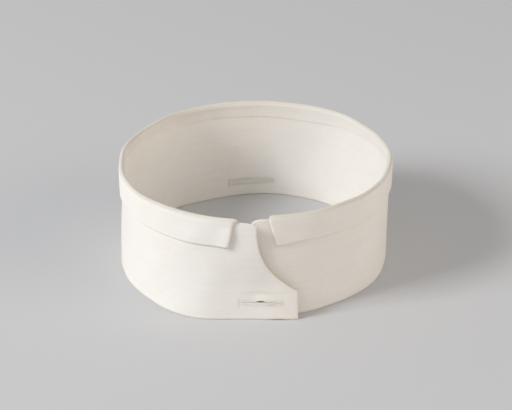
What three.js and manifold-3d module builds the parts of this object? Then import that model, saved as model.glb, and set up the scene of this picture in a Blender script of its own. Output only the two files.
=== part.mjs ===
// Stand-up linen collar: one stiff strip round the neck, lapped at the front, with its top edge turned over.
// Lengths are millimetres and +Z is up. The collar stands on z = 0, and its front lap faces -Y.

import * as THREE from 'three';
import { mergeVertices } from 'three/addons/utils/BufferGeometryUtils.js';
import ManifoldModule from 'manifold-3d';

// Sizes of the standing band
const NECK_RADIUS = 62.6;
const BAND_HEIGHT = 50.7;
const BAND_THICKNESS = 1.0;

// Sizes of the two front tabs, measured along the strip past the front centre
const LAP_LENGTH = 20.2;
const LAP_GAP = 1.6;
const TIP_HEIGHT = 14.8;
const TIP_CORNER = 1.3;
const SHOULDER_LENGTH = 1.2;
const SHOULDER_WIDTH = 5.6;
const SHOULDER_DROP = 2.6;

// Sizes of the turned edge, its legs measured down from the rim
const TURNED_THICKNESS = 1.0;
const SEAT_GAP = 0.3;
const OUTER_LEG = 14.2;
const INNER_LEG = 8.3;
const NOTCH_HALF = 7.8;
const OUTER_TAB_SPREAD = 3.8;
const INNER_TAB_SPREAD = 2.6;

// Sizes of the buttonholes, heights measured up from the foot, and how far their cut runs past each face
const HOLE_OPENING = 1.2;
const FRONT_HOLE_LENGTH = 19.4;
const FRONT_HOLE_LAP = 3.7;
const FRONT_HOLE_HEIGHT = 9.4;
const BACK_HOLE_LENGTH = 21.4;
const BACK_HOLE_HEIGHT = 8.0;
const HOLE_PAST = 0.3 * LAP_GAP;

// Form of the wall round the neck, a row for each section. The angle is in degrees from the centre back,
// negative towards -X, where the outer tab comes from. The top and foot radii are shares of NECK_RADIUS,
// the step is the share of the lap's depth by which the wall has moved inwards, and the last two columns
// are the shares of OUTER_LEG and INNER_LEG that the turned edge's legs reach down there.
const WALL_FORM = [
  { angle: -230, top: 1.020, foot: 1.100, step: 0.0, outerLeg: 1.0, innerLeg: 0.85 },
  { angle: -200, top: 1.010, foot: 1.034, step: 0.0, outerLeg: 1.0, innerLeg: 0.85 },
  { angle: -180, top: 1.003, foot: 0.982, step: 0.0, outerLeg: 1.0, innerLeg: 0.85 },
  { angle: -150, top: 1.009, foot: 1.054, step: 0.0, outerLeg: 1.0, innerLeg: 0.85 },
  { angle: -120, top: 1.018, foot: 1.036, step: 0.0, outerLeg: 0.94, innerLeg: 0.8 },
  { angle: -90, top: 0.998, foot: 1.008, step: 0.0, outerLeg: 0.84, innerLeg: 0.75 },
  { angle: -60, top: 0.978, foot: 0.996, step: 0.0, outerLeg: 0.8, innerLeg: 0.75 },
  { angle: -30, top: 0.978, foot: 0.999, step: 0.0, outerLeg: 0.8, innerLeg: 0.9 },
  { angle: 0, top: 0.988, foot: 1.019, step: 0.0, outerLeg: 0.8, innerLeg: 0.95 },
  { angle: 30, top: 1.005, foot: 1.033, step: 0.0, outerLeg: 0.8, innerLeg: 1.0 },
  { angle: 60, top: 1.011, foot: 1.024, step: 0.0, outerLeg: 0.82, innerLeg: 0.7 },
  { angle: 90, top: 1.022, foot: 1.005, step: 0.0, outerLeg: 0.88, innerLeg: 0.7 },
  { angle: 120, top: 1.009, foot: 0.990, step: 0.25, outerLeg: 1.0, innerLeg: 0.75 },
  { angle: 150, top: 0.994, foot: 0.999, step: 0.75, outerLeg: 0.99, innerLeg: 0.8 },
  { angle: 180, top: 0.992, foot: 0.990, step: 1.0, outerLeg: 1.0, innerLeg: 0.85 },
  { angle: 200, top: 0.988, foot: 0.978, step: 1.0, outerLeg: 1.0, innerLeg: 0.85 },
  { angle: 230, top: 0.986, foot: 0.972, step: 1.0, outerLeg: 1.0, innerLeg: 0.85 },
];
const REACH_ANGLE = WALL_FORM.at(-1).angle;

// Pull of the tab's hollow curve, as shares of its run between the shoulder and the tip: how far it drops
// before it leaves the shoulder, and how far back and up from the tip it is aimed.
const HOLLOW = { shoulderDrop: 0.62, tipBack: 0.48, tipRise: 0.19 };

// Fineness of the faceted walls
const STATION_SPACING = 6;
const END_STATIONS = 8;
const TIP_ROWS = 3;
const CORNER_ROWS = 3;
const HOLLOW_ROWS = 7;
const LEG_ROWS = 2;
const RIM_ROWS = 6;
const HOLE_SEGMENTS = 7;
const NORMAL_STEP = 0.5;

const { degToRad, lerp } = THREE.MathUtils;
const LAP_STEP = BAND_THICKNESS + LAP_GAP;
const FORM_COLUMNS = ['top', 'foot', 'step', 'outerLeg', 'innerLeg'];
const wallForm = new THREE.CubicInterpolant(
  WALL_FORM.map((row) => row.angle),
  WALL_FORM.flatMap((row) => FORM_COLUMNS.map((column) => row[column])),
  FORM_COLUMNS.length,
);

// Row of the wall's form at any angle, worked out smoothly between the rows of the table.
function formAt(angle) {
  const values = wallForm.evaluate(angle);
  return Object.fromEntries(FORM_COLUMNS.map((column, index) => [column, values[index]]));
}

// Point on the middle of the wall at an angle from the centre back and a height above the foot.
function wallMiddle(angle, z) {
  const form = formAt(angle);
  const radius = NECK_RADIUS * lerp(form.foot, form.top, z / BAND_HEIGHT) - form.step * LAP_STEP;
  const turn = degToRad(angle);
  return new THREE.Vector3(radius * Math.sin(turn), radius * Math.cos(turn), z);
}

// Line round the wall at half its height, which carries lengths along the strip to angles.
class WallLine extends THREE.Curve {
  getPoint(t, target = new THREE.Vector3()) {
    return target.copy(wallMiddle(lerp(-REACH_ANGLE, REACH_ANGLE, t), BAND_HEIGHT / 2));
  }

  lengthTo(angle) {
    const lengths = this.getLengths();
    return lengths[Math.round(((angle + REACH_ANGLE) / (2 * REACH_ANGLE)) * (lengths.length - 1))];
  }
}

const wallLine = new WallLine();
wallLine.arcLengthDivisions = 4 * REACH_ANGLE;
const CENTRE_BACK = (wallLine.lengthTo(180) + wallLine.lengthTo(-180)) / 2;
const FRONT_CENTRE = (wallLine.lengthTo(180) - wallLine.lengthTo(-180)) / 2;

// Angle at a length along the strip from the centre back, negative towards the outer tab.
function angleAt(s) {
  return lerp(-REACH_ANGLE, REACH_ANGLE, wallLine.getUtoTmapping(0, CENTRE_BACK + s));
}

// Place a point of the flat strip on the standing collar, at a length along the strip, a height and a
// distance outwards from the wall's middle.
function place(s, z, n) {
  const angle = angleAt(s);
  const along = wallMiddle(angle + NORMAL_STEP, z).sub(wallMiddle(angle - NORMAL_STEP, z));
  const outward = new THREE.Vector3(-along.y, along.x, 0).normalize();
  return wallMiddle(angle, z).addScaledVector(outward, n);
}

// Lengths along the strip of its stations, evenly spaced to the notch on either side and then squeezed
// or stretched to the row's own ends at the outer and the inner tab.
const NOTCH_REACH = NOTCH_HALF + Math.max(OUTER_TAB_SPREAD, INNER_TAB_SPREAD);
const BODY_REACH = FRONT_CENTRE - NOTCH_REACH - STATION_SPACING;
const BODY_STATIONS = Math.round(BODY_REACH / STATION_SPACING);
const LAST_STATION = BODY_STATIONS + END_STATIONS;

function stationLength(station, ends) {
  const side = Math.sign(station);
  const steps = Math.abs(station);
  if (steps <= BODY_STATIONS) {
    return (side * BODY_REACH * steps) / BODY_STATIONS;
  }
  const end = side < 0 ? ends.outerTab : ends.innerTab;
  return side * lerp(BODY_REACH, end, (steps - BODY_STATIONS) / END_STATIONS);
}

// Closed sheet with an outer and an inner face. Each row gives the two ends of the strip there, and a
// section at any length along it: the height and distance outwards of its outer and its inner face.
function closedSheet(rows) {
  const stations = 2 * LAST_STATION + 1;
  const positions = [];
  for (const face of ['outer', 'inner']) {
    for (const row of rows) {
      for (let station = -LAST_STATION; station <= LAST_STATION; station += 1) {
        const s = stationLength(station, row.ends);
        const { n, z } = row.section(s)[face];
        positions.push(...place(s, z, n));
      }
    }
  }
  const outer = (row, station) => row * stations + station;
  const inner = (row, station) => (rows.length + row) * stations + station;
  const triangles = [];
  const quad = (a, b, c, d) => triangles.push(a, b, c, a, c, d);
  for (let row = 0; row < rows.length - 1; row += 1) {
    for (let station = 0; station < stations - 1; station += 1) {
      quad(outer(row, station), outer(row + 1, station), outer(row + 1, station + 1), outer(row, station + 1));
      quad(inner(row, station), inner(row, station + 1), inner(row + 1, station + 1), inner(row + 1, station));
    }
    const last = stations - 1;
    quad(outer(row, 0), inner(row, 0), inner(row + 1, 0), outer(row + 1, 0));
    quad(outer(row, last), outer(row + 1, last), inner(row + 1, last), inner(row, last));
  }
  const top = rows.length - 1;
  for (let station = 0; station < stations - 1; station += 1) {
    quad(outer(0, station), outer(0, station + 1), inner(0, station + 1), inner(0, station));
    quad(outer(top, station), inner(top, station), inner(top, station + 1), outer(top, station + 1));
  }
  const geometry = new THREE.BufferGeometry();
  geometry.setAttribute('position', new THREE.Float32BufferAttribute(positions, 3));
  geometry.setIndex(triangles);
  return geometry;
}

// Outline of a tab's end from its foot up to the shoulder, as lengths past the front centre and heights:
// an upright tip, a hollow curve and two rounded corners.
function tabOutline() {
  const tipEdge = TIP_HEIGHT - TIP_CORNER;
  const hollowFoot = new THREE.Vector2(LAP_LENGTH - TIP_CORNER, TIP_HEIGHT);
  const hollowTop = new THREE.Vector2(SHOULDER_LENGTH, BAND_HEIGHT - SHOULDER_DROP);
  const run = hollowFoot.x - hollowTop.x;
  const rise = hollowTop.y - hollowFoot.y;
  const hollow = new THREE.CubicBezierCurve(
    hollowFoot,
    new THREE.Vector2(hollowFoot.x - HOLLOW.tipBack * run, hollowFoot.y + HOLLOW.tipRise * rise),
    new THREE.Vector2(hollowTop.x, hollowTop.y - HOLLOW.shoulderDrop * rise),
    hollowTop,
  );
  const points = [];
  for (let row = 0; row < TIP_ROWS; row += 1) {
    points.push(new THREE.Vector2(LAP_LENGTH, (tipEdge * row) / TIP_ROWS));
  }
  for (let row = 0; row < CORNER_ROWS; row += 1) {
    const turn = ((Math.PI / 2) * row) / CORNER_ROWS;
    points.push(new THREE.Vector2(
      hollowFoot.x + TIP_CORNER * Math.cos(turn),
      tipEdge + TIP_CORNER * Math.sin(turn),
    ));
  }
  points.push(...hollow.getPoints(HOLLOW_ROWS));
  for (let row = 1; row <= CORNER_ROWS; row += 1) {
    const turn = ((Math.PI / 2) * row) / CORNER_ROWS;
    points.push(new THREE.Vector2(
      hollowTop.x - SHOULDER_WIDTH * (1 - Math.cos(turn)),
      hollowTop.y + SHOULDER_DROP * Math.sin(turn),
    ));
  }
  return points;
}

// Standing band, the same outline at both ends.
function bandGeometry() {
  return closedSheet(tabOutline().map((point) => ({
    ends: { outerTab: FRONT_CENTRE + point.x, innerTab: FRONT_CENTRE + point.x },
    section: () => ({
      outer: { n: BAND_THICKNESS / 2, z: point.y },
      inner: { n: -BAND_THICKNESS / 2, z: point.y },
    }),
  })));
}

// Slit of a buttonhole, a flat lens bent round the wall, that reaches a little past both of its faces.
function buttonholeGeometry(s, z, length) {
  const lens = new THREE.Shape();
  lens.moveTo(-length / 2, 0);
  lens.quadraticCurveTo(0, -HOLE_OPENING, length / 2, 0);
  lens.quadraticCurveTo(0, HOLE_OPENING, -length / 2, 0);
  const depth = BAND_THICKNESS + 2 * HOLE_PAST;
  const geometry = new THREE.ExtrudeGeometry(lens, {
    depth,
    bevelEnabled: false,
    curveSegments: HOLE_SEGMENTS,
  });
  const position = geometry.getAttribute('position');
  for (let index = 0; index < position.count; index += 1) {
    const n = depth / 2 - position.getZ(index);
    const placed = place(s + position.getX(index), z + position.getY(index), n);
    position.setXYZ(index, placed.x, placed.y, placed.z);
  }
  return geometry;
}

// Turned edge: an outer and an inner leg joined by a round rim, with a cavity that clears the band. The
// turn runs from the outer leg over the rim to the inner leg, and the drop is the share of a leg.
function turnedEdgeGeometry() {
  const cavity = BAND_THICKNESS / 2 + SEAT_GAP;
  const outside = cavity + TURNED_THICKNESS;
  const legRun = (s, turn) => {
    const form = formAt(angleAt(s));
    const leg = turn === 0 ? OUTER_LEG * form.outerLeg : INNER_LEG * form.innerLeg;
    return leg - outside;
  };
  const profile = [];
  for (let row = 0; row < LEG_ROWS; row += 1) {
    profile.push({ turn: 0, drop: 1 - row / LEG_ROWS });
  }
  for (let row = 0; row <= RIM_ROWS; row += 1) {
    profile.push({ turn: (Math.PI * row) / RIM_ROWS, drop: 0 });
  }
  for (let row = 1; row <= LEG_ROWS; row += 1) {
    profile.push({ turn: Math.PI, drop: row / LEG_ROWS });
  }
  return closedSheet(profile.map(({ turn, drop }) => ({
    ends: {
      outerTab: FRONT_CENTRE - NOTCH_HALF - OUTER_TAB_SPREAD * drop,
      innerTab: FRONT_CENTRE - NOTCH_HALF - INNER_TAB_SPREAD * drop,
    },
    section: (s) => {
      const z = BAND_HEIGHT - drop * legRun(s, turn);
      return {
        outer: { n: outside * Math.cos(turn), z: z + outside * Math.sin(turn) },
        inner: { n: cavity * Math.cos(turn), z: z + cavity * Math.sin(turn) },
      };
    },
  })));
}

// Booleans on closed meshes with merged vertices
const manifold = await ManifoldModule();
manifold.setup();

function toSolid(geometry) {
  const bare = geometry.clone();
  bare.deleteAttribute('normal');
  bare.deleteAttribute('uv');
  const merged = mergeVertices(bare);
  return new manifold.Manifold(new manifold.Mesh({
    numProp: 3,
    vertProperties: new Float32Array(merged.getAttribute('position').array),
    triVerts: new Uint32Array(merged.getIndex().array),
  }));
}

function toGeometry(solid) {
  const mesh = solid.getMesh();
  const geometry = new THREE.BufferGeometry();
  geometry.setAttribute('position', new THREE.Float32BufferAttribute(mesh.vertProperties, 3));
  geometry.setIndex(new THREE.Uint32BufferAttribute(mesh.triVerts, 1));
  return geometry;
}

// Band with its three buttonholes cut through: one in each tab and one at the centre back.
function cutBandGeometry() {
  const frontHole = FRONT_CENTRE + FRONT_HOLE_LAP;
  const slits = [
    buttonholeGeometry(-frontHole, FRONT_HOLE_HEIGHT, FRONT_HOLE_LENGTH),
    buttonholeGeometry(frontHole, FRONT_HOLE_HEIGHT, FRONT_HOLE_LENGTH),
    buttonholeGeometry(0, BACK_HOLE_HEIGHT, BACK_HOLE_LENGTH),
  ];
  const cut = slits.reduce((band, slit) => band.subtract(toSolid(slit)), toSolid(bandGeometry()));
  return toGeometry(cut);
}

function clothPiece(name, geometry, colour, roughness) {
  geometry.computeVertexNormals();
  const piece = new THREE.Mesh(
    geometry,
    new THREE.MeshStandardMaterial({ color: colour, roughness, metalness: 0 }),
  );
  piece.name = name;
  return piece;
}

// The collar stands with the middle of its footprint over the origin.
const collar = new THREE.Group();
collar.add(clothPiece('collar_band', cutBandGeometry(), '#efeae2', 0.85));
collar.add(clothPiece('turned_edge', turnedEdgeGeometry(), '#f4f0ea', 0.8));
const middle = new THREE.Box3().setFromObject(collar).getCenter(new THREE.Vector3());
collar.position.set(-middle.x, -middle.y, 0);

export default collar;
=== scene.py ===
"""Stand-up linen collar: a starched band round the neck, lapped at the front, with its top edge turned over."""

import logging
import math
from dataclasses import dataclass, field
from enum import Enum

import bpy
import numpy as np
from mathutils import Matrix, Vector


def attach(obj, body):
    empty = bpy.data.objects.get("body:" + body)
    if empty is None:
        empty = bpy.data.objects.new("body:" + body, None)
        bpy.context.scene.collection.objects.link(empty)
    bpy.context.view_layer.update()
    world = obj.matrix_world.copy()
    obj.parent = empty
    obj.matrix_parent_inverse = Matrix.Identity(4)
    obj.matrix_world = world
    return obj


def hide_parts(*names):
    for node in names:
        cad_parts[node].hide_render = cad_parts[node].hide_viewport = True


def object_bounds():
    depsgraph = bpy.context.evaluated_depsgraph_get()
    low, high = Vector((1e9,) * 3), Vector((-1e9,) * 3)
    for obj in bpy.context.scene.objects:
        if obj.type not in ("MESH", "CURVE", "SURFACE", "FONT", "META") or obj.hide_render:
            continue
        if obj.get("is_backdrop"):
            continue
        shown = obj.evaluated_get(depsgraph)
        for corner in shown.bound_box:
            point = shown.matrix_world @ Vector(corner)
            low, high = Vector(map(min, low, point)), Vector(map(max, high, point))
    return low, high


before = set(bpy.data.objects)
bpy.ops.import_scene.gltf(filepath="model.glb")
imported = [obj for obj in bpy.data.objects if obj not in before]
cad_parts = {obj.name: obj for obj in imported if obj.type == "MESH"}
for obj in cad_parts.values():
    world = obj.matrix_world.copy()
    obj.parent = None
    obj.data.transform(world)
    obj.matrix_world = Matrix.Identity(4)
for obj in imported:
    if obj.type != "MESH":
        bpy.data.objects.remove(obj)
CAD_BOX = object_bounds()

Socket = bpy.types.NodeSocket
LOG = logging.getLogger("linen_collar")
MM = 0.001
FINE = 1e-9
# A distance beyond any on the collar, and the length over which a stitch follows the cloth, in millimetres.
FAR = 99.0
STRIDE = 1.6
# Aged tone of the turned edge, which keeps lighter than the band's.
TURNED_AGED = (0.84, 0.79, 0.71)
# Sizes of the threads in metres, as the stitch tree's inputs.
SEAM_THREAD = {"Spacing": 0.0017, "Start": -0.0006, "Reach": 0.0012, "Thread Radius": 0.00008, "Crown": 0.00008}
BUTTONHOLE_THREADS = {
    "cover": {"Spacing": 0.00027, "Start": -0.00005, "Reach": 0.0019, "Thread Radius": 0.00011}
    | {"Crown": 0.00004, "Bite": 0.00012, "Unevenness": 0.09},
    "ridge": {"Spacing": 0.00029, "Start": -0.00015, "Reach": 0.0003, "Thread Radius": 0.00012}
    | {"Crown": 0.00006, "Bite": 0.00004, "Unevenness": 0.15},
    "bar": {"Spacing": 0.0007, "Start": -0.00045, "Reach": 0.0009, "Thread Radius": 0.0001}
    | {"Crown": 0.00004, "Bite": 0.00003, "Unevenness": 0.12},
}


class Face(Enum):
    """Face of the collar's wall, as the side of the wall's middle that it lies on."""

    OUTER = 1.0
    INNER = -1.0


class Side(Enum):
    """Way along the strip from the centre back."""

    OUTER_TAB = -1.0
    INNER_TAB = 1.0


def smooth(t: np.ndarray) -> np.ndarray:
    """Even ease from 0 to 1."""
    t = np.clip(t, 0.0, 1.0)
    return t * t * (3.0 - 2.0 * t)


def bump(t: np.ndarray, centre: float, half: float) -> np.ndarray:
    """Round hump of height 1 over centre, gone at half's distance."""
    return 1.0 - smooth(np.abs(t - centre) / half)


def rounding(distance: np.ndarray, radius: float) -> np.ndarray:
    """Share of a wall's half thickness at a distance from its rounded edge."""
    t = np.clip(distance / radius, 0.0, 1.0)
    return np.sqrt(np.maximum(1.0 - (1.0 - t) ** 2, 0.0))


def distance_to_line(points: np.ndarray, line: np.ndarray) -> np.ndarray:
    """Shortest distance from flat points to a line of straight pieces.

    Args:
        points: Points, shape (N, 2).
        line: Corners of the line, shape (M, 2).

    Returns:
        Distances, shape (N,).
    """
    start, run = line[:-1], np.diff(line, axis=0)
    length = np.maximum((run**2).sum(axis=1), FINE)
    reach = points[:, None, :] - start[None]
    t = np.clip((reach * run[None]).sum(axis=2) / length, 0.0, 1.0)
    return np.sqrt(((reach - t[..., None] * run[None]) ** 2).sum(axis=2)).min(axis=1)


def show(name: str, data: bpy.types.ID) -> bpy.types.Object:
    """Put a new object with this data into the scene.

    Args:
        name: Its name.
        data: Its mesh, curve, light or camera.

    Returns:
        The object.
    """
    piece = bpy.data.objects.new(name, data)
    bpy.context.scene.collection.objects.link(piece)
    return piece


def write(mesh: bpy.types.Mesh, name: str, values: np.ndarray) -> None:
    """Give each point of a mesh its number or vector of a new attribute."""
    kind, key = ("FLOAT", "value") if values.ndim == 1 else ("FLOAT_VECTOR", "vector")
    mesh.attributes.new(name, kind, "POINT").data.foreach_set(key, values.astype(np.float32).ravel())


def made_real(maker: bpy.types.Object) -> bpy.types.Mesh:
    """Mesh of an object as its curve or its modifiers make it."""
    graph = bpy.context.evaluated_depsgraph_get()
    return bpy.data.meshes.new_from_object(maker.evaluated_get(graph), depsgraph=graph)


@dataclass
class Nodes:
    """A node tree, filled one node at a time."""

    tree: bpy.types.NodeTree

    def add(self, kind: str, inputs: dict | None = None, **settings: object) -> bpy.types.Node:
        """Add a node.

        Args:
            kind: Its type.
            inputs: A value or another node's socket for each input that is named or numbered.
            settings: Values of its properties.

        Returns:
            The node.
        """
        node = self.tree.nodes.new(kind)
        for name, value in settings.items():
            setattr(node, name, value)
        self.fill(node, inputs or {})
        return node

    def fill(self, node: bpy.types.Node, inputs: dict) -> None:
        """Give inputs of a node their values and links.

        Args:
            node: The node.
            inputs: A value or another node's socket for each input.
        """
        for name, value in inputs.items():
            if isinstance(value, Socket):
                self.tree.links.new(value, node.inputs[name])
            else:
                node.inputs[name].default_value = value

    def math(self, operation: str, *values: object) -> Socket:
        """Result of a sum on sockets and numbers."""
        return self.add("ShaderNodeMath", dict(enumerate(values)), operation=operation).outputs[0]

    def noise(self, where: Socket, scale: float, detail: float = 2.0) -> Socket:
        """Noise of a scale per metre."""
        return self.add("ShaderNodeTexNoise", {"Vector": where, "Scale": scale, "Detail": detail}).outputs["Fac"]

    def ranged(self, value: Socket, to: tuple, start: tuple = (0.0, 1.0), ease: str = "LINEAR") -> Socket:
        """Carry a value from one range to another.

        Args:
            value: The value.
            to: The range that it gets.
            start: The range that it comes from.
            ease: How it goes from end to end.

        Returns:
            The new value.
        """
        ends = {"Value": value, "From Min": start[0], "From Max": start[1], "To Min": to[0], "To Max": to[1]}
        return self.add("ShaderNodeMapRange", ends, interpolation_type=ease).outputs["Result"]

    def mixed(self, share: Socket, first: object, second: tuple) -> Socket:
        """Mix a colour, or a socket that gives one, with a second colour by its share.

        Args:
            share: Share of the second colour.
            first: A colour, or a socket that gives one.
            second: A colour.

        Returns:
            The socket that gives the mix.
        """
        first = (*first, 1.0) if isinstance(first, tuple) else first
        mix = self.add("ShaderNodeMix", {"Factor": share, "A": first, "B": (*second, 1.0)}, data_type="RGBA")
        return mix.outputs["Result"]


def new_material(name: str) -> tuple:
    """Make a material, and give it with its nodes and its shader.

    Args:
        name: Its name.

    Returns:
        The material, its nodes and its shader node.
    """
    material = bpy.data.materials.new(name)
    material.use_nodes = True
    return material, Nodes(material.node_tree), material.node_tree.nodes["Principled BSDF"]


@dataclass
class Wall:
    """Form of the wall round the neck, which carries the flat strip to the standing collar, in millimetres."""

    neck_radius: float = 62.6
    band_height: float = 50.7
    lap_step: float = 2.6
    middle: tuple = (-0.672, -0.0785)
    dent_seed: int = 11
    dent_depth: float = 0.2
    dent_waves: tuple = (95.0, 61.0, 43.0, 31.0, 23.0, 17.0)
    dent_size: float = 60.0
    dent_growth: float = 1.2
    dent_tilt: float = 0.9
    dent_rise: float = 0.35
    gape_width: float = 0.7
    gape_foot: float = 14.0
    gape_reach: float = 24.0
    # Angle from the centre back, radius at the rim and at the foot, share of the lap's step, and sizes of the
    # turned edge's outer and inner leg.
    rows: tuple = (
        (-230, 1.020, 1.100, 0.0, 1.0, 0.85),
        (-200, 1.010, 1.034, 0.0, 1.0, 0.85),
        (-180, 1.003, 0.982, 0.0, 1.0, 0.85),
        (-150, 1.009, 1.054, 0.0, 1.0, 0.85),
        (-120, 1.018, 1.036, 0.0, 0.94, 0.8),
        (-90, 0.998, 1.008, 0.0, 0.84, 0.75),
        (-60, 0.978, 0.996, 0.0, 0.8, 0.75),
        (-30, 0.978, 0.999, 0.0, 0.8, 0.9),
        (0, 0.988, 1.019, 0.0, 0.8, 0.95),
        (30, 1.005, 1.033, 0.0, 0.8, 1.0),
        (60, 1.011, 1.024, 0.0, 0.82, 0.7),
        (90, 1.022, 1.005, 0.0, 0.88, 0.7),
        (120, 1.009, 0.990, 0.25, 1.0, 0.75),
        (150, 0.994, 0.999, 0.75, 0.99, 0.8),
        (180, 0.992, 0.990, 1.0, 1.0, 0.85),
        (200, 0.988, 0.978, 1.0, 1.0, 0.85),
        (230, 0.986, 0.972, 1.0, 1.0, 0.85),
    )
    angles: np.ndarray = field(init=False)
    columns: dict = field(init=False)
    lengths: np.ndarray = field(init=False)
    centre_back: float = field(init=False)
    front_centre: float = field(init=False)

    def __post_init__(self) -> None:
        """Measure the strip round the wall at half its height."""
        table = np.array(self.rows, float)
        self.columns = {
            name: table[:, index + 1]
            for index, name in enumerate(("top", "foot", "step", "outer_leg", "inner_leg"))
        }
        self.columns["angle"] = table[:, 0]
        reach = table[-1, 0]
        self.angles = np.linspace(-reach, reach, int(4 * reach) + 1)
        line = self.wall_middle(self.angles, np.full_like(self.angles, self.band_height / 2))
        steps = np.sqrt((np.diff(line, axis=0) ** 2).sum(axis=1))
        self.lengths = np.concatenate(([0.0], np.cumsum(steps)))
        left, right = (np.interp(angle, self.angles, self.lengths) for angle in (-180.0, 180.0))
        self.centre_back = float(left + right) / 2
        self.front_centre = float(right - left) / 2

    def form(self, name: str, angle: np.ndarray) -> np.ndarray:
        """Value of one column of the table, worked out smoothly between its rows.

        Args:
            name: Column of the table.
            angle: Angles from the centre back, in degrees.

        Returns:
            The column's values at the angles.
        """
        xs, values = self.columns["angle"], self.columns[name]
        last = len(xs) - 1
        upper = np.clip(np.searchsorted(xs, angle, side="right"), 1, last)
        lower = upper - 1
        start, end = xs[lower], xs[upper]
        before = np.where(lower > 0, lower - 1, upper)
        after = np.where(upper < last, upper + 1, lower)
        far_start = np.where(lower > 0, xs[np.maximum(lower - 1, 0)], end)
        far_end = np.where(upper < last, xs[np.minimum(upper + 1, last)], start)
        half = (end - start) / 2
        pull_start, pull_end = half / (start - far_start), half / (far_end - end)
        p = (angle - start) / (end - start)
        p2, p3 = p * p, p * p * p
        return (
            (-pull_start * p3 + 2 * pull_start * p2 - pull_start * p) * values[before]
            + ((1 + pull_start) * p3 + (-1.5 - 2 * pull_start) * p2 + (-0.5 + pull_start) * p + 1) * values[lower]
            + ((-1 - pull_end) * p3 + (1.5 + pull_end) * p2 + 0.5 * p) * values[upper]
            + (pull_end * p3 - pull_end * p2) * values[after]
        )

    def wall_middle(self, angle: np.ndarray, z: np.ndarray) -> np.ndarray:
        """Points on the middle of the wall, at angles from the centre back and heights above the foot.

        Args:
            angle: Angles from the centre back, in degrees.
            z: Heights above the foot.

        Returns:
            Points, with a last axis of three.
        """
        foot, top = self.form("foot", angle), self.form("top", angle)
        radius = self.neck_radius * (foot + (top - foot) * z / self.band_height)
        radius = radius - self.form("step", angle) * self.lap_step
        turn = np.radians(angle)
        return np.stack((radius * np.sin(turn), radius * np.cos(turn), z), axis=-1)

    def angle_at(self, s: np.ndarray) -> np.ndarray:
        """Angle at a length along the strip from the centre back, negative towards the outer tab."""
        return np.interp(self.centre_back + s, self.lengths, self.angles)

    def outward(self, s: np.ndarray, z: np.ndarray) -> np.ndarray:
        """Directions straight out of the wall.

        Args:
            s: Lengths along the strip from the centre back.
            z: Heights above the foot.

        Returns:
            Directions of length 1, with a last axis of three.
        """
        angle = self.angle_at(s)
        along = self.wall_middle(angle + 0.5, z) - self.wall_middle(angle - 0.5, z)
        out = np.stack((-along[..., 1], along[..., 0], np.zeros_like(along[..., 0])), axis=-1)
        return out / np.linalg.norm(out, axis=-1, keepdims=True)

    def dent(self, s: np.ndarray, z: np.ndarray) -> np.ndarray:
        """Soft uneven dents that starched linen keeps, as a distance outwards.

        Args:
            s: Lengths along the strip from the centre back.
            z: Heights above the foot.

        Returns:
            Distances outwards.
        """
        draw = np.random.default_rng(self.dent_seed)
        total = np.zeros(np.broadcast(s, z).shape)
        turn = 2 * math.pi
        for wave in self.dent_waves:
            for _ in range(2):
                tilt = draw.uniform(-self.dent_tilt, self.dent_tilt)
                phase, lean = draw.uniform(0, turn), draw.uniform(0, turn)
                reach = turn / wave
                along = np.sin(reach * (s + tilt * z) + phase)
                height = (wave / self.dent_size) ** self.dent_growth
                total += height * along * np.cos(self.dent_rise * reach * z + lean)
        return self.dent_depth * total

    def gape(self, s: np.ndarray, z: np.ndarray) -> np.ndarray:
        """Distance outwards by which the upper part of the outer tab springs away from the inner one."""
        past = self.gape_reach - s - self.front_centre
        return self.gape_width * smooth(past / self.gape_reach) * smooth((z - self.gape_foot) / self.gape_reach)

    def place(self, s: np.ndarray, z: np.ndarray, n: np.ndarray) -> np.ndarray:
        """Place points of the flat strip on the standing collar.

        Args:
            s: Lengths along the strip from the centre back.
            z: Heights above the foot.
            n: Distances outwards from the wall's middle.

        Returns:
            Points in metres, with a last axis of three.
        """
        s, z, n = np.broadcast_arrays(np.asarray(s, float), np.asarray(z, float), np.asarray(n, float))
        out = n + self.dent(s, z) + self.gape(s, z)
        point = self.wall_middle(self.angle_at(s), z) + self.outward(s, z) * out[..., None]
        return (point + np.array([*self.middle, 0.0])) * MM


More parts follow.
